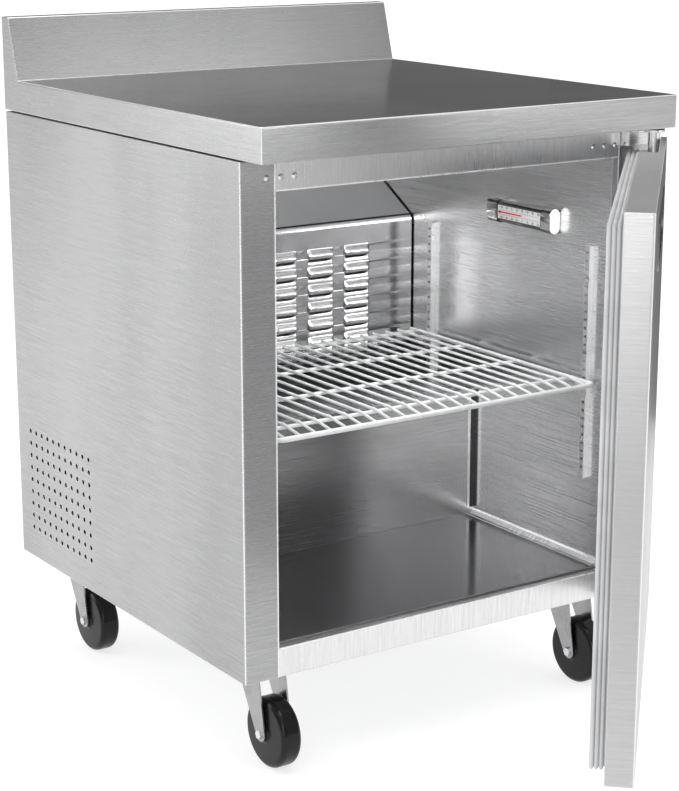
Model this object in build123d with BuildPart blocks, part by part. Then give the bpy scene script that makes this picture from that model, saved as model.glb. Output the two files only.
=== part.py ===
from build123d import *
import math
import os

# Worktop refrigerator on four swivel casters, one door, condensing unit at the rear.
# Millimetres. X to the right, Y to the rear, Z up. The origin is on the floor, under the
# middle of the worktop. The door is modelled partly open, and its hinge turns it from there.

# ---- driving dimensions: worktop and cabinet ----
width = 698.5
depth = 751.0
worktop_z = 910.0
lip = 47.0
splash_z = 1004.0
splash_top = 22.0
splash_foot = 49.0
top_sheet = 1.5
sheet = 1.2
fold_radius = 2.5
bottom_z = 148.0
lip_gap = 3.0
face_y = -321.3
rear_y = 373.0
stile_left = 53.0
stile_right = 58.0
opening_top = 818.0
opening_bottom = 190.0

# ---- driving dimensions: liner ----
liner = 1.0
floor_z = 192.5
ceiling_z = 832.0
step_y = 8.0
step_z = 405.0
back_y = 329.0
cove = 12.0

# ---- driving dimensions: door ----
open_angle = 46.2
door_width = 694.0
door_height = 699.0
door_thick = 36.0
door_gap = 20.0
door_skin_thick = 1.0
pin_inset = 24.0
notch_length = 150.0
notch_depth = 20.0
notch_skin = 9.0
pin_radius = 4.0
barrel_radius = 8.5
running = 0.05
gasket_inset = 15.5
gasket_side = 12.0
gasket_hinge_side = 18.5
gasket_wide = 22.0
gasket_thick = 19.6
handle_wide = 300.0
handle_tall = 50.0
handle_below_top = 52.0
handle_deep = 25.0
handle_rim = 8.0
handle_wall = 1.2

# ---- driving dimensions: casters ----
wheel_radius = 51.0
tread_wide = 32.0
hub_wide = 38.0
boss_radius = 12.0
wheel_shoulder = 8.0
fork_half = 22.8
fork_plate = 2.5
axle_radius = 4.0
axle_head = 6.8
trail = 30.0
caster_x = 279.75
caster_front_y = -281.6
caster_rear_y = 255.8
caster_plate_thick = 3.5

# ---- driving dimensions: inside fittings ----
shelf_z = 476.0
shelf_front = -297.0
shelf_rear = 150.0
shelf_half = 279.0
shelf_frame_radius = 3.5
shelf_wire_radius = 2.25
shelf_rise = 8.0
shelf_wires = 22
standard_wide = 10.0
standard_deep = 8.5
slot_half = 2.6
slot_pitch = 12.7
cover_y = 184.0
cover_bend_z = 664.0
cover_bottom_z = 440.0
cover_slope_z = 748.0
cover_fold = 14.0
louver_columns = 6
louver_rows = 6
louver_pitch_x = 70.8
louver_pitch_z = 28.9
louver_wide = 45.0
louver_tall = 15.6
louver_top_z = 627.5
thermo_z = 707.0
thermo_deep = 18.7
thermo_tall = 38.0
thermo_round = 9.5
thermo_y0 = -193.0
thermo_y1 = -36.0
thermo_cap = 23.0
thermo_wall = 1.2
machine_front = 52.0
machine_top = 372.0

# ---- worked out from the driving dimensions ----
half = width / 2
front_y = -depth / 2
lip_z = worktop_z - lip
panel_top = lip_z - lip_gap
left_edge = -half + stile_left
right_edge = half - stile_right
door_inner_y = face_y - door_gap - 0.2
pin_y = door_inner_y - door_thick / 2
pin_x = door_width / 2 - pin_inset
door_bottom = bottom_z
door_top = door_bottom + door_height
free_edge = pin_inset - door_width
door_plane = Plane(
    origin=(pin_x, pin_y, 0),
    x_dir=(math.cos(math.radians(open_angle)), math.sin(math.radians(open_angle)), 0),
    z_dir=(0, 0, 1),
)
swivels = {
    "front_left": (-caster_x, caster_front_y),
    "front_right": (caster_x, caster_front_y),
    "rear_left": (-caster_x, caster_rear_y),
    "rear_right": (caster_x, caster_rear_y),
}

os.makedirs("parts", exist_ok=True)


def save(builder, name):
    builder.part.label = name
    export_step(builder.part, f"parts/{name}.step")


def box_between(x0, x1, y0, y1, z0, z1, mode=Mode.ADD):
    """A box given by its limits, for use inside a part's block."""
    with Locations(((x0 + x1) / 2, (y0 + y1) / 2, (z0 + z1) / 2)):
        Box(x1 - x0, y1 - y0, z1 - z0, mode=mode)


def upright(x, y, z0, z1, radius, mode=Mode.ADD):
    """A vertical cylinder from z0 to z1."""
    with Locations((x, y, (z0 + z1) / 2)):
        Cylinder(radius, z1 - z0, mode=mode)


def along_x(x0, x1, y, z, radius, mode=Mode.ADD):
    with Locations(((x0 + x1) / 2, y, z)):
        Cylinder(radius, x1 - x0, rotation=(0, 90, 0), mode=mode)


def along_y(x, y0, y1, z, radius, mode=Mode.ADD):
    with Locations((x, (y0 + y1) / 2, z)):
        Cylinder(radius, y1 - y0, rotation=(90, 0, 0), mode=mode)


# ------------------------------------------------------------------ worktop
# One folded and welded sheet: top, lip on three sides and a hollow upstand at the rear.
rear_top = depth / 2
with BuildPart() as worktop:
    with BuildSketch(Plane.YZ.offset(-half)):
        with BuildLine():
            Polyline(
                (front_y, lip_z),
                (front_y, worktop_z),
                (rear_top - splash_foot, worktop_z),
                (rear_top - splash_top, splash_z),
                (rear_top, splash_z),
                (rear_top, lip_z),
                close=True,
            )
        make_face()
    extrude(amount=width)
    rim = worktop.edges().filter_by(lambda e: e.center().Z > lip_z + 1)
    top_edges = rim.filter_by(Axis.X).group_by(Axis.Z)
    fillet(top_edges[-1], fold_radius)
    front_top = worktop.edges().filter_by(Axis.X).filter_by_position(Axis.Y, front_y - 1, front_y + 1)
    fillet(front_top.sort_by(Axis.Z)[-1], fold_radius)
    corners = worktop.edges().filter_by(Axis.Z).filter_by_position(Axis.Y, front_y - 1, front_y + 1)
    fillet(corners, fold_radius - 0.5)
    inner_front = front_y + top_sheet
    inner_top = worktop_z - top_sheet
    inner_rear = rear_top - top_sheet
    with BuildSketch(Plane.YZ.offset(-half + top_sheet)):
        with BuildLine():
            Polyline(
                (inner_front, lip_z - 1),
                (inner_front, inner_top),
                (rear_top - splash_foot + top_sheet, inner_top),
                (rear_top - splash_top + top_sheet, splash_z - top_sheet),
                (inner_rear, splash_z - top_sheet),
                (inner_rear, lip_z - 1),
                close=True,
            )
        make_face()
    extrude(amount=width - 2 * top_sheet, mode=Mode.SUBTRACT)
save(worktop, "worktop")

# ------------------------------------------------------------------ side panels
# Each side folds round the front corner into a stile, then turns back beside the opening.
vent_columns = 11
vent_rows = 9
vent_pitch = 20.0
vent_radius = 4.0
vent_middle_y = 230.0
vent_middle_z = 278.0
stile_return = 14.0


def side_panel(side, stile):
    """side is -1 for the left panel and +1 for the right one."""
    outer = side * half
    edge = side * (half - stile)
    inner = outer - side * sheet
    with BuildPart() as panel:
        with BuildSketch(Plane.XY.offset(bottom_z)) as outline:
            with BuildLine():
                Polyline(
                    (outer, rear_y),
                    (outer, face_y),
                    (edge, face_y),
                    (edge, face_y + stile_return),
                    (edge + side * sheet, face_y + stile_return),
                    (edge + side * sheet, face_y + sheet),
                    (inner, face_y + sheet),
                    (inner, rear_y),
                    close=True,
                )
            make_face()
            fillet(outline.vertices().sort_by_distance((outer, face_y))[0], fold_radius)
        extrude(amount=panel_top - bottom_z)
        with Locations(Plane.YZ.offset(outer - side * sheet / 2)):
            with Locations((vent_middle_y, vent_middle_z)):
                with GridLocations(vent_pitch, vent_pitch, vent_columns, vent_rows):
                    Cylinder(vent_radius, 3 * sheet, mode=Mode.SUBTRACT)
    return panel


save(side_panel(-1, stile_left), "side_panel_left")
save(side_panel(1, stile_right), "side_panel_right")

# ------------------------------------------------------------------ rear panel and grille
rear_inset = sheet + 0.3
grille_top = 396.0
with BuildPart() as rear_panel:
    box_between(
        -half + rear_inset, half - rear_inset, rear_y - sheet, rear_y, grille_top + 1, panel_top
    )
save(rear_panel, "rear_panel")

grille_slots = 9
gland_x = 306.0
gland_z = bottom_z + 30
grille_slot_pitch = 20.0
with BuildPart() as rear_grille:
    box_between(
        -half + rear_inset, half - rear_inset, rear_y - sheet, rear_y, bottom_z + sheet + 0.2, grille_top
    )
    with Locations(Plane.XZ.offset(-rear_y + sheet / 2)):
        with Locations((0, 275)):
            with GridLocations(190, grille_slot_pitch, 3, grille_slots):
                Box(150, 7, 4 * sheet, mode=Mode.SUBTRACT)
    along_y(gland_x, rear_y - 3, rear_y + 1, gland_z, 8.2, mode=Mode.SUBTRACT)
save(rear_grille, "rear_grille")

# ------------------------------------------------------------------ base pan
base_inner = half - sheet - 0.3
with BuildPart() as base_pan:
    box_between(
        -base_inner, base_inner, face_y + stile_return + 0.3, rear_y - 1.5, bottom_z, bottom_z + sheet
    )
    for side in (-1, 1):
        edge_x = side * base_inner
        box_between(
            min(edge_x, edge_x - side * sheet), max(edge_x, edge_x - side * sheet),
            face_y + 20, rear_y - 1.5, bottom_z, bottom_z + 22,
        )
    for x, y in swivels.values():
        with Locations((x, y + trail, bottom_z)):
            with GridLocations(72, 48, 2, 2):
                Cylinder(4.2, 8, mode=Mode.SUBTRACT)
save(base_pan, "base_pan")

# ------------------------------------------------------------------ rails of the door opening
rail_return = 16.0
with BuildPart() as top_rail:
    box_between(left_edge + 0.3, right_edge - 0.3, face_y, face_y + sheet, opening_top, panel_top)
    box_between(
        left_edge + 0.3, right_edge - 0.3, face_y, face_y + rail_return,
        opening_top, opening_top + sheet,
    )
    front_fold = top_rail.edges().filter_by(Axis.X).sort_by_distance((0, face_y, opening_top))[0]
    fillet(front_fold, 0.9)
save(top_rail, "top_rail")

with BuildPart() as bottom_rail:
    box_between(
        left_edge + 0.3, right_edge - 0.3, face_y, face_y + sheet,
        bottom_z, opening_bottom,
    )
    box_between(
        left_edge + 0.3, right_edge - 0.3, face_y, face_y + rail_return,
        opening_bottom - sheet, opening_bottom,
    )
    upper_fold = bottom_rail.edges().filter_by(Axis.X).sort_by_distance((0, face_y, opening_bottom))[0]
    fillet(upper_fold, 0.9)
save(bottom_rail, "bottom_rail")

# ------------------------------------------------------------------ liner
liner_front = face_y + stile_return + 0.5


def liner_side(x0):
    """A side wall, cut away below the step over the machine space."""
    with BuildPart() as wall:
        box_between(x0, x0 + liner, liner_front, back_y, floor_z, ceiling_z)
        box_between(
            x0 - 1, x0 + liner + 1, step_y + liner, back_y + 1, floor_z - 1, step_z - liner,
            mode=Mode.SUBTRACT,
        )
    return wall


save(liner_side(left_edge - liner), "liner_left")
save(liner_side(right_edge), "liner_right")

with BuildPart() as liner_ceiling:
    box_between(
        left_edge - liner, right_edge + liner, face_y + rail_return + 0.5, back_y,
        ceiling_z, ceiling_z + liner,
    )
save(liner_ceiling, "liner_ceiling")

with BuildPart() as liner_back:
    box_between(
        left_edge - liner, right_edge + liner, back_y, back_y + liner,
        step_z - liner, ceiling_z + liner,
    )
save(liner_back, "liner_back")

with BuildPart() as liner_floor:
    box_between(
        left_edge - liner, right_edge + liner, liner_front, step_y + liner,
        floor_z - liner, floor_z,
    )
save(liner_floor, "liner_floor")

with BuildPart() as liner_step_face:
    box_between(left_edge, right_edge, step_y, step_y + liner, floor_z, step_z - liner)
save(liner_step_face, "liner_step_face")

with BuildPart() as liner_step_top:
    box_between(left_edge, right_edge, step_y, back_y, step_z - liner, step_z)
save(liner_step_top, "liner_step_top")

# Rounded strips where the floor meets the side walls.
with BuildPart() as floor_coves:
    for edge_x, inward in ((left_edge, 1), (right_edge, -1)):
        with BuildSketch(Plane.XZ.offset(-step_y)):
            with BuildLine():
                Line((edge_x, floor_z), (edge_x + inward * cove, floor_z))
                RadiusArc(
                    (edge_x + inward * cove, floor_z), (edge_x, floor_z + cove), inward * cove
                )
                Line((edge_x, floor_z + cove), (edge_x, floor_z))
            make_face()
        extrude(amount=step_y - face_y - 20)
save(floor_coves, "floor_coves")

# ------------------------------------------------------------------ insulation
# Foamed in place; nine blocks between the outer sheets and the liner.
foam_gap = 0.5
foam_left = -half + sheet + foam_gap
foam_right = half - sheet - foam_gap
foam_front = face_y + stile_return + 2
with BuildPart() as insulation:
    box_between(foam_left, left_edge - liner - 0.2, foam_front, back_y, machine_top + 2, ceiling_z)
    box_between(
        foam_left, left_edge - liner - 0.2, foam_front, machine_front - 2,
        bottom_z + 25, machine_top + 1,
    )
    box_between(right_edge + liner + 0.2, foam_right, foam_front, back_y, machine_top + 2, ceiling_z)
    box_between(
        right_edge + liner + 0.2, foam_right, foam_front, machine_front - 2,
        bottom_z + 25, machine_top + 1,
    )
    box_between(foam_left, foam_right, foam_front + 4, rear_y - 2, ceiling_z + liner + 0.2, panel_top)
    box_between(
        foam_left, foam_right, back_y + liner + 0.2, rear_y - 2, grille_top + 4, ceiling_z,
    )
    box_between(
        left_edge, right_edge, foam_front, machine_front - 2,
        bottom_z + 8, floor_z - liner - 0.2,
    )
    box_between(
        left_edge, right_edge, step_y + liner + 0.2, machine_front - 2,
        floor_z, machine_top,
    )
    box_between(
        left_edge, right_edge, step_y + liner + 0.2, back_y - 1,
        machine_top + 1, step_z - liner - 0.2,
    )
save(insulation, "insulation")

# ------------------------------------------------------------------ evaporator cover
# Bent sheet: louvered front, rounded ledge, top sloping back to the rear wall, closed ends.
cover_half_left = left_edge + 3.5
cover_half_right = right_edge - 3.5
cover_back = back_y - 1.2
slope_angle = math.atan2(cover_slope_z - cover_bend_z, cover_back - cover_y)
fold_turn = math.pi / 2 - slope_angle
fold_y = cover_y + cover_fold
fold_z = cover_bend_z - cover_fold * math.tan(fold_turn / 2)


def fold_point(radius, share):
    """A point of the cover's fold, from its upright (0) to its slope (1)."""
    angle = math.pi - share * fold_turn
    return fold_y + radius * math.cos(angle), fold_z + radius * math.sin(angle)


with BuildPart() as evaporator_cover:
    inside = cover_fold - 1
    with BuildSketch(Plane.YZ.offset(cover_half_left)):
        with BuildLine():
            Polyline((cover_y + 18, cover_bottom_z), (cover_y, cover_bottom_z), (cover_y, fold_z))
            ThreePointArc((cover_y, fold_z), fold_point(cover_fold, 0.5), fold_point(cover_fold, 1))
            Polyline(
                fold_point(cover_fold, 1),
                (cover_back, cover_slope_z),
                (cover_back, cover_slope_z + 16),
                (cover_back + 1, cover_slope_z + 16),
                (cover_back + 1, cover_slope_z - 0.5),
                fold_point(inside, 1),
            )
            ThreePointArc(fold_point(inside, 1), fold_point(inside, 0.5), (cover_y + 1, fold_z))
            Polyline(
                (cover_y + 1, fold_z),
                (cover_y + 1, cover_bottom_z + 1),
                (cover_y + 18, cover_bottom_z + 1),
                (cover_y + 18, cover_bottom_z),
            )
        make_face()
    extrude(amount=cover_half_right - cover_half_left)
    for x0 in (cover_half_left, cover_half_right - 1):
        with BuildSketch(Plane.YZ.offset(x0)):
            with BuildLine():
                Polyline((cover_back, cover_bottom_z), (cover_y, cover_bottom_z), (cover_y, fold_z))
                ThreePointArc((cover_y, fold_z), fold_point(cover_fold, 0.5), fold_point(cover_fold, 1))
                Polyline(
                    fold_point(cover_fold, 1),
                    (cover_back, cover_slope_z),
                    (cover_back, cover_bottom_z),
                )
            make_face()
        extrude(amount=1)
    for column in range(louver_columns):
        x = (column - (louver_columns - 1) / 2) * louver_pitch_x
        for row in range(louver_rows):
            z = louver_top_z - row * louver_pitch_z
            box_between(
                x - louver_wide / 2, x + louver_wide / 2, cover_y - 1, cover_y + 2,
                z - louver_tall, z - louver_tall + 6, mode=Mode.SUBTRACT,
            )
            with BuildSketch(Plane.YZ.offset(x - louver_wide / 2)):
                with BuildLine():
                    Polyline(
                        (cover_y + 0.2, z),
                        (cover_y - 7, z - louver_tall + 3),
                        (cover_y - 7, z - louver_tall),
                        (cover_y - 6, z - louver_tall),
                        (cover_y - 6, z - louver_tall + 3),
                        (cover_y + 0.2, z - 3),
                        close=True,
                    )
                make_face()
            extrude(amount=louver_wide)
save(evaporator_cover, "evaporator_cover")

# ------------------------------------------------------------------ evaporator
coil_half = 225.0
coil_y0 = 264.0
coil_y1 = 322.0
coil_z0 = 462.0
coil_z1 = 600.0
with BuildPart() as evaporator_coil:
    box_between(-coil_half, coil_half, coil_y0, coil_y1, coil_z0, coil_z0 + 1.5)
    box_between(-coil_half, coil_half, coil_y0, coil_y1, coil_z1 - 1.5, coil_z1)
    fins = 37
    for index in range(fins):
        x = -coil_half + 0.5 + index * (2 * coil_half - 1) / (fins - 1)
        box_between(x - 0.5, x + 0.5, coil_y0, coil_y1, coil_z0, coil_z1)
    for row in range(4):
        for y in (coil_y0 + 16, coil_y1 - 16):
            z = coil_z0 + 22 + row * 32
            along_x(-coil_half - 14, coil_half + 14, y, z, 5)
save(evaporator_coil, "evaporator_coil")

fan_z = 552.0
shroud_y = 232.0
evaporator_fan_radius = 74.0
with BuildPart() as evaporator_fan_shroud:
    box_between(-coil_half, coil_half, shroud_y, shroud_y + 1.2, coil_z0 - 8, coil_z1 + 44)
    along_y(0, shroud_y - 1, shroud_y + 3, fan_z, evaporator_fan_radius + 5, mode=Mode.SUBTRACT)
    for angle in (90, 210, 330):
        with Locations(Plane.XZ.offset(-shroud_y - 1.5)):
            with Locations((0, fan_z)):
                with PolarLocations(50, 1, start_angle=angle):
                    Box(66, 8, 3)
save(evaporator_fan_shroud, "evaporator_fan_shroud")

with BuildPart() as evaporator_fan_motor:
    along_y(0, shroud_y + 3.2, shroud_y + 27, fan_z, 27)
    along_y(0, shroud_y - 14, shroud_y + 3.2, fan_z, 3)
save(evaporator_fan_motor, "evaporator_fan_motor")


def fan_blade(plane, radius, hub_radius, thick, shaft_radius, blades):
    """A pressed fan: a hub with pitched blades, bored for its shaft. The plane's Z is the axis."""
    with BuildPart(plane) as fan:
        Cylinder(hub_radius, thick)
        for index in range(blades):
            angle = 360 * index / blades
            with Locations(Location((0, 0, 0), (0, 0, angle))):
                with Locations(Location(((radius + hub_radius) / 2 - 2, 0, 0), (28, 0, 0))):
                    Box(radius - hub_radius - 2, hub_radius * 1.5, 1.6)
        Cylinder(shaft_radius, 4 * thick, mode=Mode.SUBTRACT)
    return fan


save(
    fan_blade(
        Plane(origin=(0, shroud_y - 10, fan_z), x_dir=(1, 0, 0), z_dir=(0, -1, 0)),
        evaporator_fan_radius, 20, 12, 3 + running, 5,
    ),
    "evaporator_fan_blade",
)

pan_z = 446.0
with BuildPart() as drain_pan:
    box_between(-coil_half - 6, coil_half + 6, coil_y0 - 10, back_y - 1.5, pan_z, pan_z + 12)
    box_between(
        -coil_half - 5, coil_half + 5, coil_y0 - 9, back_y - 2.5, pan_z + 1, pan_z + 13,
        mode=Mode.SUBTRACT,
    )
    upright(200, 300, step_z + 1, pan_z + 1, 6)
    upright(200, 300, step_z, pan_z + 2, 4.5, mode=Mode.SUBTRACT)
save(drain_pan, "drain_pan")

# ------------------------------------------------------------------ shelf standards and clips
standard_front_y = -268.5
standard_rear_y = 125.0
standard_ends = ((standard_front_y, 324.0, 681.0), (standard_rear_y, 412.0, 661.5))
with BuildPart() as shelf_standards:
    for edge_x, inward in ((left_edge, 1), (right_edge, -1)):
        for y, z0, z1 in standard_ends:
            inner_x = edge_x + inward * standard_deep
            box_between(
                min(edge_x, inner_x), max(edge_x, inner_x),
                y - standard_wide / 2, y + standard_wide / 2, z0, z1,
            )
            hollow = edge_x + inward * (standard_deep - 1.2)
            box_between(
                min(edge_x, hollow), max(edge_x, hollow),
                y - standard_wide / 2 + 1.2, y + standard_wide / 2 - 1.2, z0, z1,
                mode=Mode.SUBTRACT,
            )
            slots = int((z1 - z0 - 12) / slot_pitch)
            for index in range(slots):
                z = z1 - 10 - index * slot_pitch
                box_between(
                    inner_x - 3, inner_x + 3, y - slot_half, y + slot_half, z - 1.6, z + 1.6,
                    mode=Mode.SUBTRACT,
                )
save(shelf_standards, "shelf_standards")

clip_top = shelf_z - shelf_frame_radius
with BuildPart() as shelf_clips:
    for edge_x, inward in ((left_edge, 1), (right_edge, -1)):
        for y in (standard_front_y, standard_rear_y):
            face_x = edge_x + inward * standard_deep
            reach = edge_x + inward * 21
            box_between(min(face_x, reach), max(face_x, reach), y - 8, y + 8, clip_top - 1.5, clip_top)
            box_between(
                min(face_x, face_x + inward * 1.5), max(face_x, face_x + inward * 1.5),
                y - 8, y + 8, clip_top - 22, clip_top,
            )
save(shelf_clips, "shelf_clips")

# ------------------------------------------------------------------ wire shelf
# A bent frame rod, cross rods under the grid, and grid wires that dip to the front rod.
grid_z = shelf_z + shelf_rise
dip_y = shelf_front + 50
with BuildPart() as wire_shelf:
    along_x(-shelf_half + 10, shelf_half - 10, shelf_front, shelf_z, shelf_frame_radius + 0.5)
    along_x(-shelf_half + 10, shelf_half - 10, shelf_rear, shelf_z, shelf_frame_radius)
    for side in (-1, 1):
        along_y(side * shelf_half, shelf_front + 10, shelf_rear - 10, shelf_z, shelf_frame_radius)
        for y, turn in ((shelf_front, 1), (shelf_rear, -1)):
            corner = (side * (shelf_half - 10), y + turn * 10, shelf_z)
            with BuildSketch(
                Plane(origin=(side * (shelf_half - 10), y, shelf_z), x_dir=(0, 1, 0), z_dir=(1, 0, 0))
            ):
                Circle(shelf_frame_radius)
            axis = Axis((corner[0], corner[1], corner[2]), (0, 0, side * turn))
            revolve(axis=axis, revolution_arc=90)
    for y in (dip_y, dip_y + 130, dip_y + 260, shelf_rear - 6):
        along_x(-shelf_half, shelf_half, y, shelf_z + 1.5, 3)
    pitch = 2 * (shelf_half - 14) / (shelf_wires - 1)
    dip = math.hypot(dip_y - shelf_front, shelf_rise)
    tilt = math.degrees(math.atan2(shelf_rise, dip_y - shelf_front))
    for index in range(shelf_wires):
        x = -shelf_half + 14 + index * pitch
        along_y(x, dip_y, shelf_rear + 1, grid_z - 2, shelf_wire_radius)
        with Locations(
            Location((x, (dip_y + shelf_front) / 2, (grid_z - 2 + shelf_z) / 2), (90 + tilt, 0, 0))
        ):
            Cylinder(shelf_wire_radius, dip)
        with Locations((x, dip_y, grid_z - 2)):
            Sphere(shelf_wire_radius)
save(wire_shelf, "wire_shelf")

# ------------------------------------------------------------------ thermometer
# Two caps and a slightly slimmer tube, all with a flat back on the right wall, and a tab above.
thermo_pieces = (
    (thermo_y0, thermo_y0 + thermo_cap, 0),
    (thermo_y0 + thermo_cap - 2, thermo_y1 - thermo_cap + 2, thermo_wall),
    (thermo_y1 - thermo_cap - 5, thermo_y1, 0),
)
with BuildPart() as thermometer:
    for y0, y1, inset in thermo_pieces:
        with BuildSketch(Plane(origin=(right_edge, y1, thermo_z), x_dir=(1, 0, 0), z_dir=(0, -1, 0))):
            RectangleRounded(
                2 * (thermo_deep - inset), thermo_tall - 2 * inset, thermo_round - inset,
            )
        extrude(amount=y1 - y0)
    tab_y = thermo_y1 - thermo_cap - 10
    tab_top = thermo_z + thermo_tall / 2 + 4
    box_between(right_edge - 3, right_edge, tab_y - 13, tab_y + 13, thermo_z, tab_top)
    box_between(
        right_edge, right_edge + thermo_deep + 1, thermo_y0 - 1, thermo_y1 + 1,
        thermo_z - thermo_tall, thermo_z + thermo_tall, mode=Mode.SUBTRACT,
    )
save(thermometer, "thermometer")

# ------------------------------------------------------------------ condensing unit
unit_z = bottom_z + sheet + 6
with BuildPart() as unit_base_plate:
    box_between(-330, 330, machine_front + 8, rear_y - 12, unit_z - 2, unit_z)
    box_between(-330, 330, machine_front + 8, machine_front + 10, unit_z - 6, unit_z)
    box_between(-330, 330, rear_y - 14, rear_y - 12, unit_z - 6, unit_z)
save(unit_base_plate, "unit_base_plate")

compressor_x = 120.0
compressor_y = 215.0
with BuildPart() as compressor:
    with BuildSketch(Plane.XY.offset(unit_z + 14)):
        with Locations((compressor_x, compressor_y)):
            Ellipse(88, 68)
    extrude(amount=120)
    fillet(compressor.faces().sort_by(Axis.Z)[-1].edges(), 38)
    fillet(compressor.faces().sort_by(Axis.Z)[0].edges(), 16)
    box_between(
        compressor_x - 70, compressor_x + 70, compressor_y - 60, compressor_y + 60,
        unit_z + 12, unit_z + 16,
    )
    for dx in (-58, 58):
        for dy in (-48, 48):
            upright(compressor_x + dx, compressor_y + dy, unit_z, unit_z + 12, 9)
    box_between(
        compressor_x + 80, compressor_x + 112, compressor_y - 26, compressor_y + 26,
        unit_z + 40, unit_z + 92,
    )
save(compressor, "compressor")

condenser_x0 = -318.0
condenser_x1 = -266.0
with BuildPart() as condenser_coil:
    for y in (92.0, 338.0):
        box_between(condenser_x0, condenser_x1, y, y + 1.5, unit_z + 0.2, machine_top - 16)
    for index in range(31):
        y = 100 + index * 7.6
        box_between(condenser_x0 + 2, condenser_x1 - 2, y, y + 0.6, unit_z + 8, machine_top - 20)
    for row in range(7):
        for x in (condenser_x0 + 14, condenser_x1 - 14):
            along_y(x, 84, 348, unit_z + 22 + row * 25, 4.8)
save(condenser_coil, "condenser_coil")

condenser_fan_y = 215.0
condenser_fan_z = 258.0
condenser_fan_radius = 88.0
with BuildPart() as condenser_shroud:
    box_between(condenser_x1, condenser_x1 + 1.2, 92, 339.5, unit_z + 0.2, machine_top - 16)
    along_x(
        condenser_x1 - 1, condenser_x1 + 3, condenser_fan_y, condenser_fan_z,
        condenser_fan_radius + 5, mode=Mode.SUBTRACT,
    )
    along_x(
        condenser_x1, condenser_x1 + 20, condenser_fan_y, condenser_fan_z,
        condenser_fan_radius + 6.2,
    )
    along_x(
        condenser_x1 - 1, condenser_x1 + 21, condenser_fan_y, condenser_fan_z,
        condenser_fan_radius + 5, mode=Mode.SUBTRACT,
    )
save(condenser_shroud, "condenser_shroud")

motor_x = condenser_x1 + 46
with BuildPart() as condenser_fan_motor:
    along_x(motor_x, motor_x + 52, condenser_fan_y, condenser_fan_z, 34)
    along_x(motor_x - 28, motor_x, condenser_fan_y, condenser_fan_z, 3)
    box_between(
        motor_x + 14, motor_x + 38, condenser_fan_y - 14, condenser_fan_y + 14,
        unit_z, condenser_fan_z - 30,
    )
save(condenser_fan_motor, "condenser_fan_motor")

save(
    fan_blade(
        Plane(
            origin=(motor_x - 18, condenser_fan_y, condenser_fan_z), x_dir=(0, 1, 0), z_dir=(-1, 0, 0)
        ),
        condenser_fan_radius, 24, 14, 3 + running, 5,
    ),
    "condenser_fan_blade",
)

with BuildPart() as filter_drier:
    along_y(10, 110, 210, unit_z + 60, 13)
    along_y(10, 96, 226, unit_z + 60, 4)
    box_between(2, 18, 150, 166, unit_z, unit_z + 50)
save(filter_drier, "filter_drier")

with BuildPart() as condensate_pan:
    box_between(236, 326, 120, 330, unit_z, unit_z + 45)
    box_between(238, 324, 122, 328, unit_z + 2, unit_z + 46, mode=Mode.SUBTRACT)
save(condensate_pan, "condensate_pan")

with BuildPart() as control_box:
    box_between(240, 322, 230, 300, unit_z + 100, unit_z + 190)
    box_between(322, half - sheet - 0.3, 250, 280, unit_z + 130, unit_z + 160)
    fillet(control_box.edges().filter_by(Axis.Z), 3)
save(control_box, "control_box")

with BuildPart() as cord_gland:
    along_y(gland_x, rear_y - 12, rear_y + 14, gland_z, 8)
    along_y(gland_x, rear_y, rear_y + 5, gland_z, 11)
    along_y(gland_x, rear_y - 14, rear_y + 16, gland_z, 4, mode=Mode.SUBTRACT)
save(cord_gland, "cord_gland")

# ------------------------------------------------------------------ hinges
# The upper arm hangs from the top rail, with a barrel and a pin; the lower one sits under the base.
arm_left = 293.0
arm_right = 343.0
arm_z = 857.0
arm_thick = 3.5
with BuildPart() as top_hinge:
    box_between(arm_left, arm_right, face_y - 3, face_y, 834.5, arm_z + arm_thick)
    box_between(arm_left, arm_right, pin_y, face_y, arm_z, arm_z + arm_thick)
    upright(pin_x, pin_y, arm_z, arm_z + arm_thick, 15)
    box_between(arm_left, arm_left + 3, face_y - 17, face_y, 836, arm_z)
    upright(pin_x, pin_y, door_top - notch_depth + 1.5, arm_z, barrel_radius)
    upright(pin_x, pin_y, door_top - notch_depth - 15, arm_z, pin_radius)
save(top_hinge, "top_hinge")

with BuildPart() as bottom_hinge:
    box_between(arm_left, arm_right, pin_y, face_y + 34, bottom_z - 5, bottom_z - 1.5)
    upright(pin_x, pin_y, bottom_z - 5, bottom_z - 1.5, 15)
    box_between(arm_left, arm_right, face_y + 16, face_y + 34, bottom_z - 1.5, bottom_z)
    upright(pin_x, pin_y, bottom_z - 5, bottom_z + 15, pin_radius)
save(bottom_hinge, "bottom_hinge")

# ------------------------------------------------------------------ screws
# Round-headed screws: three at the left end of the top rail, three at the right, four in the grille.
screw_head = 4.2
rail_screws = (-308.3, -287.1, -265.7, 242.0, 263.1, 282.9)
with BuildPart() as cabinet_screws:
    for x in rail_screws:
        with Locations(Location((x, face_y - 0.9, 836.5), (90, 0, 0))):
            Cone(screw_head, screw_head * 0.55, 1.8)
    for x in (-325, 325):
        for z in (170, 384):
            with Locations(Location((x, rear_y + 0.9, z), (-90, 0, 0))):
                Cone(screw_head, screw_head * 0.55, 1.8)
save(cabinet_screws, "cabinet_screws")

# ------------------------------------------------------------------ door
# Built in the door's own plane: its origin is the hinge pin, -X runs to the free edge,
# -Y is the outer face.
outer = -door_thick / 2
inner = door_thick / 2
door_middle = (free_edge + pin_inset) / 2
handle_top = door_top - handle_below_top
handle_bottom = handle_top - handle_tall


def door_box(x0, x1, y0, y1, z0, z1, mode=Mode.ADD):
    """A box given by its limits in the door's plane."""
    middle = Pos((x0 + x1) / 2, (y0 + y1) / 2, (z0 + z1) / 2)
    with Locations(door_plane.location * middle):
        Box(x1 - x0, y1 - y0, z1 - z0, mode=mode)


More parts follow.
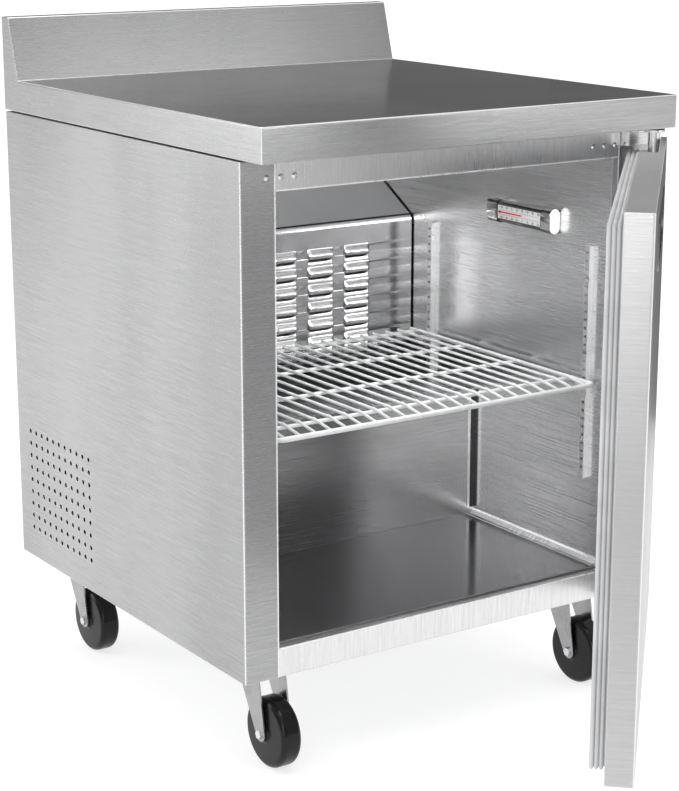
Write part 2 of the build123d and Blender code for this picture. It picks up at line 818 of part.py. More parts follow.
def door_face_plane(y):
    """A plane parallel to the door's face at depth y; its X is the door's X, its Y is up."""
    start = door_plane.from_local_coords((0, y, 0))
    return Plane(origin=start, x_dir=door_plane.x_dir, z_dir=-door_plane.y_dir)


def handle_shape(grow):
    """The recess outline: straight above, with large round lower corners."""
    side = handle_wide / 2 + grow
    bulge = handle_tall * 0.8 + grow
    flat = side - bulge
    shoulder = handle_bottom - grow + bulge
    with BuildSketch() as outline:
        with BuildLine():
            Polyline(
                (-side, shoulder), (-side, handle_top + grow), (side, handle_top + grow), (side, shoulder),
            )
            RadiusArc((side, shoulder), (flat, handle_bottom - grow), bulge)
            Line((flat, handle_bottom - grow), (-flat, handle_bottom - grow))
            RadiusArc((-flat, handle_bottom - grow), (-side, shoulder), bulge)
        make_face()
    return outline.sketch


def cut_notch():
    """The pocket at the hinge end of the door's top that clears the barrel and the arm."""
    door_box(
        -notch_length, pin_inset + 1, outer + notch_skin, inner + 1,
        door_top - notch_depth, door_top + 1, mode=Mode.SUBTRACT,
    )


with BuildPart() as door_skin:
    door_box(free_edge, pin_inset, outer, inner, door_bottom, door_top)
    outer_edges = door_skin.edges().filter_by(Axis.Z)
    near_face = outer_edges.sort_by_distance(door_plane.from_local_coords((door_middle, -900, 500)))[:2]
    fillet(near_face, fold_radius)
    door_box(
        free_edge + door_skin_thick, pin_inset - door_skin_thick,
        outer + door_skin_thick, inner + 1,
        door_bottom + door_skin_thick, door_top - door_skin_thick, mode=Mode.SUBTRACT,
    )
    door_box(
        -notch_length - 1, pin_inset, outer + notch_skin - 1, inner,
        door_top - notch_depth - 1, door_top - 0.5,
    )
    cut_notch()
    door_box(
        -notch_length - 1.2, pin_inset - 1, outer + 1, inner + 1,
        door_bottom + 3, door_top - notch_depth - 1, mode=Mode.SUBTRACT,
    )
    with BuildSketch(door_face_plane(outer)):
        with Locations((door_middle, 0)):
            add(handle_shape(0.3))
    extrude(amount=3, both=True, mode=Mode.SUBTRACT)
    for z in (door_bottom, door_top - notch_depth - 1):
        with BuildSketch(door_plane.offset(z - 2)):
            Circle(9.2)
        extrude(amount=4, mode=Mode.SUBTRACT)
save(door_skin, "door_skin")

core_gap = 0.3
with BuildPart() as door_core:
    door_box(
        free_edge + door_skin_thick + core_gap, pin_inset - door_skin_thick - core_gap,
        outer + door_skin_thick + core_gap, inner - 1.5,
        door_bottom + door_skin_thick + core_gap, door_top - door_skin_thick - core_gap,
    )
    door_box(
        -notch_length - 1.5, pin_inset + 1, outer + notch_skin - 1.3, inner + 1,
        door_top - notch_depth - 1.3, door_top + 1, mode=Mode.SUBTRACT,
    )
    door_box(
        -16, 16, -12, 12, door_bottom, door_bottom + 26, mode=Mode.SUBTRACT,
    )
    door_box(
        -16, 16, -12, 12, door_top - notch_depth - 27, door_top, mode=Mode.SUBTRACT,
    )
    door_box(
        door_middle - handle_wide / 2 - 3, door_middle + handle_wide / 2 + 3,
        outer - 1, outer + handle_deep + 3, handle_bottom - 3, handle_top + 17, mode=Mode.SUBTRACT,
    )
save(door_core, "door_core")

raised = 8.0
with BuildPart() as door_liner:
    door_box(
        free_edge + door_skin_thick + 0.3, pin_inset - door_skin_thick - 0.3,
        inner - 1.2, inner, door_bottom + door_skin_thick + 0.3, door_top - door_skin_thick - 0.3,
    )
    door_box(
        free_edge + 62, pin_inset - 62, inner, inner + raised, door_bottom + 66, door_top - 66,
    )
    door_box(
        free_edge + 63.2, pin_inset - 63.2, inner - 2, inner + raised - 1.2,
        door_bottom + 67.2, door_top - 67.2, mode=Mode.SUBTRACT,
    )
    door_box(
        -notch_length - 1.5, pin_inset + 1, inner - 3, inner + 1,
        door_top - notch_depth - 1.3, door_top + 1, mode=Mode.SUBTRACT,
    )
save(door_liner, "door_liner")

gasket_x0 = free_edge + gasket_side
gasket_x1 = pin_inset - gasket_hinge_side
gasket_z0 = door_bottom + gasket_inset
gasket_z1 = door_top - gasket_inset
with BuildPart() as door_gasket:
    door_box(gasket_x0, gasket_x1, inner, inner + gasket_thick, gasket_z0, gasket_z1)
    door_box(
        gasket_x0 + gasket_wide, gasket_x1 - gasket_wide, inner - 1, inner + gasket_thick + 1,
        gasket_z0 + gasket_wide, gasket_z1 - gasket_wide, mode=Mode.SUBTRACT,
    )
save(door_gasket, "door_gasket")

# The handle is a drawn cup with a raised rim; its pocket runs up behind the upper edge.
with BuildPart() as door_handle:
    with BuildSketch(door_face_plane(outer)):
        with Locations((door_middle, 0)):
            add(handle_shape(handle_rim))
    extrude(amount=2.2)
    fillet(door_handle.faces().sort_by(Axis(door_plane.origin, -door_plane.y_dir))[-1].edges(), 1.5)
    with BuildSketch(door_face_plane(outer)):
        with Locations((door_middle, 0)):
            add(handle_shape(0))
    extrude(amount=-handle_deep)
    door_box(
        door_middle - handle_wide / 2, door_middle + handle_wide / 2,
        outer + 3, outer + handle_deep, handle_top - 5, handle_top + 14,
    )
    with BuildSketch(door_face_plane(outer)):
        with Locations((door_middle, 0)):
            add(handle_shape(-handle_wall))
    extrude(amount=-handle_deep + handle_wall, mode=Mode.SUBTRACT)
    with BuildSketch(door_face_plane(outer)):
        with Locations((door_middle, 0)):
            add(handle_shape(-handle_wall))
    extrude(amount=5, mode=Mode.SUBTRACT)
    door_box(
        door_middle - handle_wide / 2 + handle_wall, door_middle + handle_wide / 2 - handle_wall,
        outer + 3 + handle_wall, outer + handle_deep - handle_wall,
        handle_top - 8, handle_top + 14 - handle_wall, mode=Mode.SUBTRACT,
    )
save(door_handle, "door_handle")

with BuildPart() as door_bushes:
    for z in (door_bottom, door_top - notch_depth - 18):
        with BuildSketch(door_plane.offset(z)):
            Circle(9)
            Circle(pin_radius + running, mode=Mode.SUBTRACT)
        extrude(amount=18)
    with BuildSketch(door_plane.offset(door_bottom + 18)):
        Circle(9)
    extrude(amount=4)
save(door_bushes, "door_bushes")

# ------------------------------------------------------------------ casters
# Top plate and ball race are fixed; the fork swivels on its king pin and trails the wheel.
race_radius = 27.0
crown_z = 131.0
king_radius = 6.0
plate_x = 95.0
plate_y = 67.0
with BuildPart() as caster_plates:
    for x, y in swivels.values():
        box_between(
            x - plate_x / 2, x + plate_x / 2, y + trail - plate_y / 2, y + trail + plate_y / 2,
            bottom_z - caster_plate_thick, bottom_z,
        )
        upright(x, y + trail, 140, bottom_z - caster_plate_thick, race_radius)
        upright(x, y + trail, 139, bottom_z + 1, king_radius + running, mode=Mode.SUBTRACT)
        with Locations((x, y + trail, bottom_z)):
            with GridLocations(72, 48, 2, 2):
                Cylinder(4.2, 8, mode=Mode.SUBTRACT)
save(caster_plates, "caster_plates")

with BuildPart() as caster_bolts:
    for x, y in swivels.values():
        for dx in (-36, 36):
            for dy in (-24, 24):
                upright(x + dx, y + trail + dy, bottom_z - 8, bottom_z + 5, 4)
                with BuildSketch(Plane.XY.offset(bottom_z - caster_plate_thick - 5.3)):
                    with Locations((x + dx, y + trail + dy)):
                        RegularPolygon(7.5, 6)
                extrude(amount=5.3)
save(caster_bolts, "caster_bolts")


def caster_fork(x, y):
    with BuildPart() as fork:
        for side in (-1, 1):
            start = x + side * fork_half - (fork_plate if side > 0 else 0)
            with BuildSketch(Plane.YZ.offset(start)):
                with Locations((y, wheel_radius)):
                    Circle(11)
                with Locations((y + trail, crown_z)):
                    Rectangle(52, 7)
                make_hull()
            extrude(amount=fork_plate)
        box_between(x - fork_half, x + fork_half, y + trail - 26, y + trail + 26, crown_z, crown_z + 3.5)
        shoulders = fork.edges().filter_by(Axis.Y).group_by(Axis.Z)[-1].sort_by(Axis.X)
        fillet([shoulders[0], shoulders[-1]], 1.8)
        upright(x, y + trail, crown_z + 3.5, 139.4, race_radius - 2)
        upright(x, y + trail, crown_z + 3.5, bottom_z - 0.6, king_radius)
        along_x(x - 30, x + 30, y, wheel_radius, axle_radius + 0.1, mode=Mode.SUBTRACT)
    return fork


def caster_wheel(x, y):
    """A moulded wheel: round shoulders, gently domed sides, and a boss that meets the fork."""
    tread = tread_wide / 2
    hub = hub_wide / 2
    shoulder = wheel_radius - wheel_shoulder
    with BuildPart() as wheel:
        with BuildSketch(Plane(origin=(x, y, wheel_radius), x_dir=(1, 0, 0), z_dir=(0, -1, 0))):
            with BuildLine():
                Polyline(
                    (-hub, axle_radius + running),
                    (-hub, boss_radius),
                    (-tread - 1, boss_radius + 3),
                    (-tread, shoulder),
                )
                RadiusArc((-tread, shoulder), (-tread + wheel_shoulder, wheel_radius), wheel_shoulder)
                Line((-tread + wheel_shoulder, wheel_radius), (tread - wheel_shoulder, wheel_radius))
                RadiusArc((tread - wheel_shoulder, wheel_radius), (tread, shoulder), wheel_shoulder)
                Polyline(
                    (tread, shoulder),
                    (tread + 1, boss_radius + 3),
                    (hub, boss_radius),
                    (hub, axle_radius + running),
                    (-hub, axle_radius + running),
                )
            make_face()
        revolve(axis=Axis((x, y, wheel_radius), (1, 0, 0)))
    return wheel


def caster_axle(x, y):
    with BuildPart() as axle:
        along_x(x - fork_half - 1, x + fork_half + 6, y, wheel_radius, axle_radius)
        with BuildSketch(Plane.YZ.offset(x - fork_half - 4)):
            with Locations((y, wheel_radius)):
                RegularPolygon(axle_head, 6)
        extrude(amount=4)
        with BuildSketch(Plane.YZ.offset(x + fork_half)):
            with Locations((y, wheel_radius)):
                RegularPolygon(axle_head, 6)
        extrude(amount=5)
    return axle


for name, (x, y) in swivels.items():
    save(caster_fork(x, y), f"caster_fork_{name}")
    save(caster_wheel(x, y), f"caster_wheel_{name}")
    save(caster_axle(x, y), f"caster_axle_{name}")
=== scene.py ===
"""Worktop refrigerator: studio scene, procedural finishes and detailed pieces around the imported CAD."""

import math

import bmesh
import bpy
from mathutils import Matrix, Vector


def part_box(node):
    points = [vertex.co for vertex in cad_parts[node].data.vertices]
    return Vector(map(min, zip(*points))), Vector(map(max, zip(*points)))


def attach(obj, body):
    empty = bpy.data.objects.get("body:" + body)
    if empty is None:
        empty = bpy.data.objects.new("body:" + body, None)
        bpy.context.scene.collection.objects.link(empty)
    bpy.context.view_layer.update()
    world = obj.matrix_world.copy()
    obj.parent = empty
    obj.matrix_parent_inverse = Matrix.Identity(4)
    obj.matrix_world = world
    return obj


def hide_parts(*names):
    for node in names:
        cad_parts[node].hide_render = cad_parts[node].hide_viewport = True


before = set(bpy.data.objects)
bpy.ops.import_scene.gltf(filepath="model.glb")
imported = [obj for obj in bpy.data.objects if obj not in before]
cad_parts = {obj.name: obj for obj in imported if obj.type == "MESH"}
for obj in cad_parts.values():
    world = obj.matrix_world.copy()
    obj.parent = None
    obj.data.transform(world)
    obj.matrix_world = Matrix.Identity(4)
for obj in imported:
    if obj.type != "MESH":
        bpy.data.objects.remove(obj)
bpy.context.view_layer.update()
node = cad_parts
scene = bpy.context.scene

MM = 0.001
DOOR_OPEN = math.radians(46.2)          # the door's rest angle
DOOR_PIN = Vector((0.323, -0.3595, 0))  # where the hinge pin's axis meets the floor, in metres


# ---------------------------------------------------------------- helpers
def place(name, mesh, body, replaces, material, smooth=True):
    """Links a finished mesh as a piece that rides on a body, in place of the nodes that it replaces."""
    piece = bpy.data.objects.new(name, mesh)
    scene.collection.objects.link(piece)
    mesh.materials.clear()
    mesh.materials.append(material)
    if smooth:
        for polygon in mesh.polygons:
            polygon.use_smooth = True
    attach(piece, body)
    if replaces:
        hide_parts(*replaces)
    return piece


def mesh_from(name, points, faces):
    """A mesh with its faces turned outwards, from points in metres."""
    mesh = bpy.data.meshes.new(name)
    mesh.from_pydata([tuple(p) for p in points], [], faces)
    work = bmesh.new()
    work.from_mesh(mesh)
    bmesh.ops.recalc_face_normals(work, faces=work.faces)
    work.to_mesh(mesh)
    work.free()
    mesh.validate()
    return mesh


def lofted(rings, sides):
    """The faces of a closed body through rings of points, with a flat face at each end."""
    faces = []
    for r in range(rings - 1):
        for k in range(sides):
            j = (k + 1) % sides
            faces.append((r * sides + k, r * sides + j, (r + 1) * sides + j, (r + 1) * sides + k))
    last = (rings - 1) * sides
    return faces + [tuple(range(sides)), tuple(range(last, last + sides))]


def door_point(x, y, z):
    """A point of the door's own frame, in mm, as a place in the row frame."""
    turned = Matrix.Rotation(DOOR_OPEN, 3, "Z") @ Vector((x * MM, y * MM, 0))
    return DOOR_PIN + turned + Vector((0, 0, z * MM))


def fill_ramp(ramp, stops):
    """Sets a colour ramp to grey levels at (position, value) stops."""
    while len(ramp.elements) < len(stops):
        ramp.elements.new(0.5)
    for element, (position, value) in zip(ramp.elements, stops):
        element.position = position
        element.color = (value, value, value, 1)


# ---------------------------------------------------------------- materials
class Shader:
    """A small builder for one procedural material."""

    def __init__(self, name):
        self.material = bpy.data.materials.new(name)
        self.material.use_nodes = True
        self.tree = self.material.node_tree
        self.tree.nodes.clear()
        self.out = self.add("ShaderNodeOutputMaterial")
        self.bsdf = self.add("ShaderNodeBsdfPrincipled")
        self.link(self.bsdf.outputs["BSDF"], self.out.inputs["Surface"])
        self.coords = self.add("ShaderNodeTexCoord").outputs["Object"]
        self.rounded = None

    def add(self, kind, **values):
        made = self.tree.nodes.new(kind)
        for key, value in values.items():
            setattr(made, key, value)
        return made

    def link(self, a, b):
        self.tree.links.new(a, b)

    def set(self, **values):
        """Sets numbers that are the same all over on the shader's own sockets."""
        names = {"metallic": "Metallic", "roughness": "Roughness", "aniso": "Anisotropic",
                 "coat": "Coat Weight", "specular": "Specular IOR Level", "emit": "Emission Strength"}
        for key, value in values.items():
            self.bsdf.inputs[names[key]].default_value = value

    def mapped(self, scale, turn=0.0, offset=(0, 0, 0)):
        """Object coordinates turned about Z, then scaled along each axis."""
        spin = self.add("ShaderNodeMapping", vector_type="POINT")
        spin.inputs["Rotation"].default_value = (0, 0, -turn)
        self.link(self.coords, spin.inputs["Vector"])
        stretch = self.add("ShaderNodeMapping", vector_type="POINT")
        stretch.inputs["Scale"].default_value = scale
        stretch.inputs["Location"].default_value = offset
        self.link(spin.outputs[0], stretch.inputs["Vector"])
        return stretch.outputs[0]

    def noise_at(self, vector, detail, rough):
        """Noise on coordinates that are already scaled."""
        made = self.add("ShaderNodeTexNoise")
        made.inputs["Scale"].default_value = 1.0
        made.inputs["Detail"].default_value = detail
        made.inputs["Roughness"].default_value = rough
        self.link(vector, made.inputs["Vector"])
        return made.outputs["Fac"]

    def noise(self, scale, turn=0.0, detail=3.0, rough=0.6, offset=(0, 0, 0)):
        """Noise with its own scale along each axis."""
        return self.noise_at(self.mapped(scale, turn, offset), detail, rough)

    def spread(self, value, low, high, start=0.3, end=0.7):
        """Maps value from the range start to end onto low to high."""
        made = self.add("ShaderNodeMapRange")
        made.inputs["From Min"].default_value = start
        made.inputs["From Max"].default_value = end
        made.inputs["To Min"].default_value = low
        made.inputs["To Max"].default_value = high
        self.link(value, made.inputs["Value"])
        return made.outputs["Result"]

    def math(self, operation, a, b):
        """A sum on sockets or plain numbers."""
        made = self.add("ShaderNodeMath", operation=operation)
        for socket, value in zip(made.inputs, (a, b)):
            if isinstance(value, (int, float)):
                socket.default_value = value
            else:
                self.link(value, socket)
        return made.outputs[0]

    def blend(self, factor, first, second):
        """A mix of two colours, each a socket or plain numbers."""
        made = self.add("ShaderNodeMix", data_type="RGBA")
        self.link(factor, made.inputs["Factor"])
        for socket, value in ((made.inputs[6], first), (made.inputs[7], second)):
            if hasattr(value, "links"):
                self.link(value, socket)
            else:
                socket.default_value = (*value, 1)
        return made.outputs[2]

    def bump(self, height, strength, distance, edge=0.0):
        """Fine relief, over edges rounded by the radius edge where one is given."""
        made = self.add("ShaderNodeBump")
        made.inputs["Strength"].default_value = strength
        made.inputs["Distance"].default_value = distance
        self.link(height, made.inputs["Height"])
        if edge:
            self.link(self.edge(edge), made.inputs["Normal"])
        self.link(made.outputs[0], self.bsdf.inputs["Normal"])

    def product(self, first, second):
        """Two vectors multiplied axis by axis; the second may be plain numbers."""
        made = self.add("ShaderNodeVectorMath", operation="MULTIPLY")
        self.link(first, made.inputs[0])
        if hasattr(second, "links"):
            self.link(second, made.inputs[1])
        else:
            made.inputs[1].default_value = second
        return made.outputs[0]

    def normal_z(self):
        """How far a face looks up or down, in the piece's own axes."""
        split = self.add("ShaderNodeSeparateXYZ")
        self.link(self.add("ShaderNodeTexCoord").outputs["Normal"], split.inputs[0])
        return split.outputs["Z"]

    def edge(self, radius):
        """The surface normal with its edges rounded, made once for each material."""
        if not self.rounded:
            self.rounded = self.add("ShaderNodeBevel", samples=5)
            self.rounded.inputs["Radius"].default_value = radius
        return self.rounded.outputs[0]

    def fold_highlight_mask(self, turn):
        """One on the rounded folds between faces that lie square to the piece's axes, where a white
        highlight is painted.
        """
        spin = self.add("ShaderNodeMapping", vector_type="POINT")
        spin.inputs["Rotation"].default_value = (0, 0, -turn)
        self.link(self.add("ShaderNodeTexCoord").outputs["Normal"], spin.inputs["Vector"])
        split = self.add("ShaderNodeSeparateXYZ")
        self.link(spin.outputs[0], split.inputs[0])
        x, y, z = (self.math("ABSOLUTE", split.outputs[k], 0) for k in range(3))
        pairs = self.math("ADD", self.math("MULTIPLY", x, y),
                          self.math("MULTIPLY", z, self.math("ADD", x, y)))
        return self.spread(pairs, 0.0, 0.75, 0.28, 0.45)    # pairs is 0 on flat faces, 0.5 midway on a fold

    def painted_fold_masks(self):
        """Masks for a fold from an upright face to a slope: a painted highlight on its lower part and a
        painted shade line on its upper part.
        """
        up = self.normal_z()
        lit = self.math("MULTIPLY", self.spread(up, 0, 1, 0.12, 0.26), self.spread(up, 1, 0, 0.60, 0.66))
        shaded = self.math("MULTIPLY", self.spread(up, 0, 1, 0.64, 0.70), self.spread(up, 1, 0, 0.81, 0.85))
        return lit, shaded

    def edge_highlight_mask(self, radius):
        """One on a sheet's cut edges, where a white highlight is painted, nought on its faces."""
        same = self.add("ShaderNodeVectorMath", operation="DOT_PRODUCT")
        self.link(self.edge(radius), same.inputs[0])
        self.link(self.add("ShaderNodeNewGeometry").outputs["Normal"], same.inputs[1])
        return self.spread(same.outputs["Value"], 0.9, 0.0, 0.86, 0.985)


HIGHLIGHT_WHITE = (0.93, 0.93, 0.93)         # the white of the painted highlights on edges, folds and level faces
GRAIN_ACROSS = 1250.0                   # how finely brushed grain varies across its lines
GRAIN_RANGE = (0.36, 0.64)              # the grain noise's useful range


def brushed(name, dark, light, rough, upright=False, aniso=0.6, edge=2.2, turn=0.0, along=30.0, patch=0.05,
            level_rough=0.0, folds=True, painted_level_light=0.0, painted_fold_light=False):
    """Brushed steel. On upright faces the grain lies level, or stands when upright is set.
    On level faces it runs along X. turn is the piece's own turn about Z, edge a radius in mm.
    Cut edges, and folds where folds is set, get a painted white highlight. Level faces can be painted
    whiter, and a fold up to a slope can get a painted highlight and a painted shade line."""
    s = Shader(name)
    lying = s.math("GREATER_THAN", s.math("ABSOLUTE", s.normal_z(), 0), 0.6)
    if upright:
        scale = (GRAIN_ACROSS, GRAIN_ACROSS, along)
    else:
        scale = (along, along, GRAIN_ACROSS)
    turned = s.mapped((1, 1, 1), turn)
    picked = s.add("ShaderNodeMix", data_type="VECTOR")
    s.link(lying, picked.inputs["Factor"])
    picked.inputs[4].default_value = scale
    picked.inputs[5].default_value = (along, GRAIN_ACROSS, along)
    fine = s.noise_at(s.product(turned, picked.outputs[1]), 4, 0.7)
    broad = s.noise_at(s.product(turned, s.product(picked.outputs[1], (0.3, 0.3, 0.3))), 2, 0.5)
    cloud = s.noise((4.2, 4.2, 1.1), turn, 2, 0.5, (5.3, 2.9, 8.1))
    mixed = s.math("ADD", s.math("MULTIPLY", fine, 0.7), s.math("MULTIPLY", broad, 0.3))
    tone = s.spread(mixed, 0.0, 1.0, *GRAIN_RANGE)
    factor = s.math("ADD", tone, s.spread(cloud, -patch, patch))
    # Painted highlights: cut edges, and folds where folds is set, turn white and less metallic.
    painted_edges = s.edge_highlight_mask(edge * MM)
    if folds:
        painted_edges = s.math("MAXIMUM", painted_edges, s.fold_highlight_mask(turn))
    color = s.blend(factor, dark, light)
    # Painted light: faces that lie flatter than upright are blended towards white.
    if painted_level_light:
        color = s.blend(s.math("MULTIPLY", lying, painted_level_light), color, HIGHLIGHT_WHITE)
    # Painted light and shade: near-white on the fold's lower part, near-black on its upper part.
    if painted_fold_light:
        lit, shaded = s.painted_fold_masks()
        color = s.blend(lit, color, (0.95, 0.95, 0.95))
        color = s.blend(shaded, color, (0.05, 0.05, 0.05))
    s.link(s.blend(painted_edges, color, HIGHLIGHT_WHITE), s.bsdf.inputs["Base Color"])
    s.link(s.math("SUBTRACT", 1.0, s.math("MULTIPLY", painted_edges, 0.55)), s.bsdf.inputs["Metallic"])
    dull = s.math("ADD", s.spread(mixed, rough + 0.05, rough - 0.05, *GRAIN_RANGE),
                  s.spread(cloud, -0.03, 0.03))
    if level_rough:
        dull = s.math("ADD", dull, s.math("MULTIPLY", lying, level_rough - rough))
    s.link(dull, s.bsdf.inputs["Roughness"])
    s.set(aniso=aniso)
    s.bump(mixed, 0.08, 0.00012, edge * MM)
    spin = Matrix.Rotation(turn, 3, "Z")
    across_up = Vector((0, 0, 1))
    if upright:
        across_up = spin @ Vector((1, 0.6, 0)).normalized()
    tangent = s.add("ShaderNodeMix", data_type="VECTOR")
    s.link(lying, tangent.inputs["Factor"])
    tangent.inputs[4].default_value = across_up
    tangent.inputs[5].default_value = spin @ Vector((0, 1, 0))
    to_world = s.add("ShaderNodeVectorTransform", vector_type="VECTOR", convert_from="OBJECT",
                     convert_to="WORLD")
    s.link(tangent.outputs[1], to_world.inputs[0])
    s.link(to_world.outputs[0], s.bsdf.inputs["Tangent"])
    return s.material


def plain_metal(name, dark, light, rough, grain_size=60.0, metallic=1.0, edge=0.8, bump=0.1, coat=0.0,
                spread_by=0.06):
    """Zinc, galvanised sheet, paint and castings: mottled tone and roughness, with softened edges."""
    s = Shader(name)
    mottle = s.noise((grain_size,) * 3, 0, 4, 0.6)
    fine = s.noise((grain_size * 14,) * 3, 0, 2, 0.5, (1.7, 4.4, 6.1))
    s.link(s.blend(s.spread(mottle, 0, 1), dark, light), s.bsdf.inputs["Base Color"])
    s.link(s.spread(mottle, rough - spread_by, rough + spread_by), s.bsdf.inputs["Roughness"])
    s.set(metallic=metallic, coat=coat)
    s.bump(fine, bump, 0.0002, edge * MM)
    return s.material


def cell_pattern(s, scale):
    """A pattern of irregular cells in shader s, scale of them to a metre."""
    cells = s.add("ShaderNodeTexVoronoi", feature="F1")
    cells.inputs["Scale"].default_value = scale
    s.link(s.coords, cells.inputs["Vector"])
    return cells


def galvanised(name):
    """Zinc-coated sheet with its crystal spangle."""
    s = Shader(name)
    cells = cell_pattern(s, 130.0)
    shade = s.add("ShaderNodeSeparateColor")
    s.link(cells.outputs["Color"], shade.inputs[0])
    s.link(s.blend(shade.outputs[0], (0.44, 0.45, 0.46), (0.53, 0.54, 0.55)), s.bsdf.inputs["Base Color"])
    s.link(s.spread(shade.outputs[1], 0.34, 0.5, 0, 1), s.bsdf.inputs["Roughness"])
    s.set(metallic=1.0)
    s.bump(s.noise((900, 900, 900)), 0.08, 0.0001, 0.8 * MM)
    return s.material


def foam(name):
    """Rigid foam, with its cells as fine pits."""
    s = Shader(name)
    cells = cell_pattern(s, 700.0)
    s.link(s.blend(cells.outputs["Distance"], (0.26, 0.26, 0.25), (0.34, 0.34, 0.33)),
           s.bsdf.inputs["Base Color"])
    s.set(roughness=0.9)
    s.bump(cells.outputs["Distance"], 0.4, 0.0006)
    return s.material


def rubber(name, dark, light, rough, shine=0.45):
    """Rubber, vinyl and moulded plastic: soft tone, fine matte grain."""
    s = Shader(name)
    fine = s.noise((900, 900, 900))
    soft = s.noise((18, 18, 18), 0, 2, 0.5, (2.2, 3.3, 4.4))
    s.link(s.blend(s.spread(soft, 0, 1), dark, light), s.bsdf.inputs["Base Color"])
    s.link(s.spread(fine, rough - 0.06, rough + 0.06), s.bsdf.inputs["Roughness"])
    s.set(specular=shine)
    s.bump(fine, 0.1, 0.0002, 0.5 * MM)
    return s.material


def fins(name, axis):
    """Packed aluminium fins, shown as fine parallel lines."""
    s = Shader(name)
    wave = s.add("ShaderNodeTexWave", wave_type="BANDS", bands_direction=axis, wave_profile="SIN")
    wave.inputs["Scale"].default_value = 60.0
    wave.inputs["Distortion"].default_value = 0.15
    s.link(s.coords, wave.inputs["Vector"])
    s.link(s.blend(wave.outputs["Fac"], (0.10, 0.10, 0.11), (0.78, 0.79, 0.80)), s.bsdf.inputs["Base Color"])
    s.set(metallic=0.9, roughness=0.4)
    s.bump(wave.outputs["Fac"], 0.7, 0.0008)
    return s.material


steel_panel = brushed("steel_panel", (0.35, 0.35, 0.354), (0.455, 0.455, 0.46), 0.29, patch=0.45)
steel_top = brushed("steel_top", (0.36, 0.36, 0.364), (0.465, 0.465, 0.47), 0.29, level_rough=0.17)
# A lighter copy of the cabinet steel, with standing grain: painted light on the rails' front faces.
steel_rail = brushed("steel_rail", (0.64, 0.64, 0.645), (0.80, 0.80, 0.805), 0.30, upright=True)
# Its level faces, the top among them, are painted whiter: painted light.
steel_door = brushed("steel_door", (0.44, 0.44, 0.445), (0.53, 0.53, 0.535), 0.32, turn=DOOR_OPEN,
                     level_rough=0.5, painted_level_light=0.5)
# A darker copy of the liner steel: painted shade on the step.
step_steel = brushed("step_steel", (0.42, 0.42, 0.425), (0.56, 0.56, 0.565), 0.23, aniso=0.5, along=10,
                     edge=1.0)
handle_steel = brushed("handle_steel", (0.13, 0.13, 0.135), (0.19, 0.19, 0.195), 0.34, turn=DOOR_OPEN,
                       edge=0.6, folds=False)
liner_steel = brushed("liner_steel", (0.60, 0.60, 0.605), (0.84, 0.84, 0.845), 0.23, aniso=0.5, along=10,
                      edge=1.0)
ceiling_steel = brushed("ceiling_steel", (0.72, 0.72, 0.725), (0.82, 0.82, 0.825), 0.40, along=10, edge=1.0)
# A darker copy of the liner steel: painted shade on the floor pan.
floor_steel = brushed("floor_steel", (0.24, 0.24, 0.245), (0.33, 0.33, 0.335), 0.15, aniso=0.4, along=10,
                      edge=1.0)
liner_door = brushed("liner_door", (0.55, 0.55, 0.555), (0.66, 0.66, 0.665), 0.24, turn=DOOR_OPEN, edge=1.0)
# Painted light and shade: the slope and level faces whiter, a painted highlight and shade line on the ledge
# and louvers.
cover_steel = brushed("cover_steel", (0.44, 0.44, 0.445), (0.50, 0.50, 0.505), 0.15, aniso=0.3, edge=0.15,
                      folds=False, painted_fold_light=True, painted_level_light=0.8, level_rough=0.38)
bright_zinc = plain_metal("bright_zinc", (0.66, 0.66, 0.67), (0.80, 0.80, 0.81), 0.28, 45)
standard_and_highlight_steel = plain_metal("standard_and_highlight_steel", (0.86, 0.86, 0.865), (0.95, 0.95, 0.955), 0.3, 45)
chrome = plain_metal("chrome", (0.78, 0.78, 0.79), (0.88, 0.88, 0.89), 0.08, 30, spread_by=0.03, bump=0.02)
spangle = galvanised("spangle")
pale_foam = foam("pale_foam")
wire_coat = plain_metal("wire_coat", (0.70, 0.71, 0.71), (0.80, 0.81, 0.81), 0.3, 40, metallic=0.0, coat=0.4,
                        bump=0.06, edge=0.6)
black_coat = plain_metal("black_coat", (0.012, 0.012, 0.013), (0.03, 0.03, 0.032), 0.36, 80, metallic=0.0,
                         coat=0.3)
motor_coat = plain_metal("motor_coat", (0.07, 0.07, 0.075), (0.13, 0.13, 0.135), 0.42, 80, metallic=0.2)
fan_sheet = plain_metal("fan_sheet", (0.55, 0.56, 0.57), (0.68, 0.69, 0.70), 0.34, 60)
copper_skin = plain_metal("copper_skin", (0.62, 0.28, 0.16), (0.78, 0.42, 0.26), 0.3, 50)
grey_moulding = rubber("grey_moulding", (0.22, 0.225, 0.23), (0.30, 0.305, 0.31), 0.45)
wheel_rubber = rubber("wheel_rubber", (0.004, 0.004, 0.0045), (0.008, 0.008, 0.0085), 0.22, shine=0.26)
gasket_vinyl = rubber("gasket_vinyl", (0.48, 0.485, 0.49), (0.57, 0.575, 0.58), 0.42)
fork_zinc = plain_metal("fork_zinc", (0.34, 0.34, 0.345), (0.43, 0.43, 0.435), 0.3, 45)
hinge_steel = brushed("hinge_steel", (0.62, 0.62, 0.625), (0.70, 0.70, 0.705), 0.2, edge=1.6, patch=0.02)
evaporator_fins = fins("evaporator_fins", "X")
condenser_fins = fins("condenser_fins", "Y")

